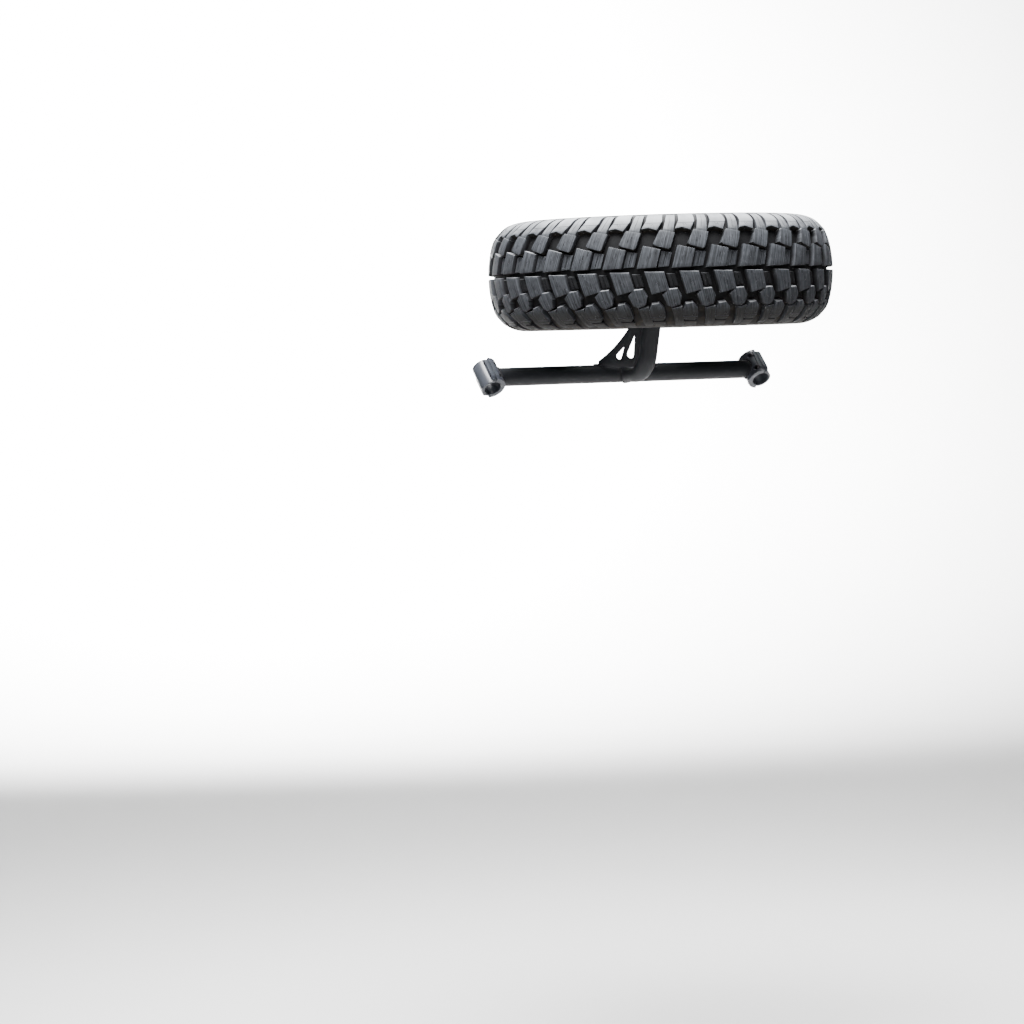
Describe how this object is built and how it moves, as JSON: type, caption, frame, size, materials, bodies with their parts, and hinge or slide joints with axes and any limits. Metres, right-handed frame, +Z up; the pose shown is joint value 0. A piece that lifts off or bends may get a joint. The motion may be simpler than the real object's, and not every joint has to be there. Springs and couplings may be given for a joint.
{
  "type": "spare tire carrier",
  "caption": "Spare wheel carrier for a buggy's rear cage: a crossbar clamped to two sloping legs, with a gusseted bent arm that holds a mud tyre flat above it.",
  "frame": {"origin": "The middle of the crossbar's axis, halfway between the two leg clamps, where the cage legs hold the carrier up.", "axes": "+Z is up, along the wheel's axis. +X runs along the crossbar to the right-hand clamp. +Y points to the front of the vehicle, so the wheel stands off towards -Y."},
  "size_m": [0.8126, 0.8126, 0.4102],
  "materials": {
    "powder_coat": "satin black powder coat over steel tube and plate",
    "black_bolts": "black oxide",
    "zinc_plated": "zinc plated",
    "painted_alloy": "satin black paint over cast alloy",
    "tyre_rubber": "matt, dusty",
    "valve_rubber": "matt",
    "cap_plastic": "matt"
  },
  "bodies": {
    "carrier": {"crossbar_tube": "powder_coat", "arm_tube": "powder_coat", "left_arm_web": "powder_coat", "right_arm_web": "powder_coat", "mount_plate": "powder_coat", "left_clamp_saddle": "powder_coat", "left_clamp_cap": "powder_coat", "left_clamp_bolt_front_lower": "black_bolts", "left_clamp_bolt_front_upper": "black_bolts", "left_clamp_bolt_rear_lower": "black_bolts", "left_clamp_bolt_rear_upper": "black_bolts", "right_clamp_saddle": "powder_coat", "right_clamp_cap": "powder_coat", "right_clamp_bolt_front_lower": "black_bolts", "right_clamp_bolt_front_upper": "black_bolts", "right_clamp_bolt_rear_lower": "black_bolts", "right_clamp_bolt_rear_upper": "black_bolts", "wheel_stud_1": "zinc_plated", "wheel_stud_2": "zinc_plated", "wheel_stud_3": "zinc_plated", "wheel_stud_4": "zinc_plated"},
    "wheel": {"wheel_rim": "painted_alloy", "tyre": "tyre_rubber", "centre_cap": "cap_plastic", "valve_stem": "valve_rubber"},
    "nut_1": {"lug_nut_1": "zinc_plated"},
    "nut_2": {"lug_nut_2": "zinc_plated"},
    "nut_3": {"lug_nut_3": "zinc_plated"},
    "nut_4": {"lug_nut_4": "zinc_plated"},
    "valve_cap": {"valve_cap": "cap_plastic"}
  },
  "joints": [
    {"name": "wheel_lift", "type": "slide", "parent": "carrier", "child": "wheel", "axis": [0, 0, 1], "range_m": [0, 0.24]},
    {"name": "lug_nut_1_spin", "type": "hinge", "parent": "wheel", "child": "nut_1", "pos_m": [0.05515, -0.12785, 0.3], "axis": [0, 0, 1], "continuous": true},
    {"name": "lug_nut_2_spin", "type": "hinge", "parent": "wheel", "child": "nut_2", "pos_m": [-0.05515, -0.12785, 0.3], "axis": [0, 0, 1], "continuous": true},
    {"name": "lug_nut_3_spin", "type": "hinge", "parent": "wheel", "child": "nut_3", "pos_m": [-0.05515, -0.23815, 0.3], "axis": [0, 0, 1], "continuous": true},
    {"name": "lug_nut_4_spin", "type": "hinge", "parent": "wheel", "child": "nut_4", "pos_m": [0.05515, -0.23815, 0.3], "axis": [0, 0, 1], "continuous": true},
    {"name": "valve_cap_spin", "type": "hinge", "parent": "wheel", "child": "valve_cap", "pos_m": [-0.18675, -0.183, 0.2918], "axis": [0.9063, 0, 0.4226], "continuous": true}
  ]
}
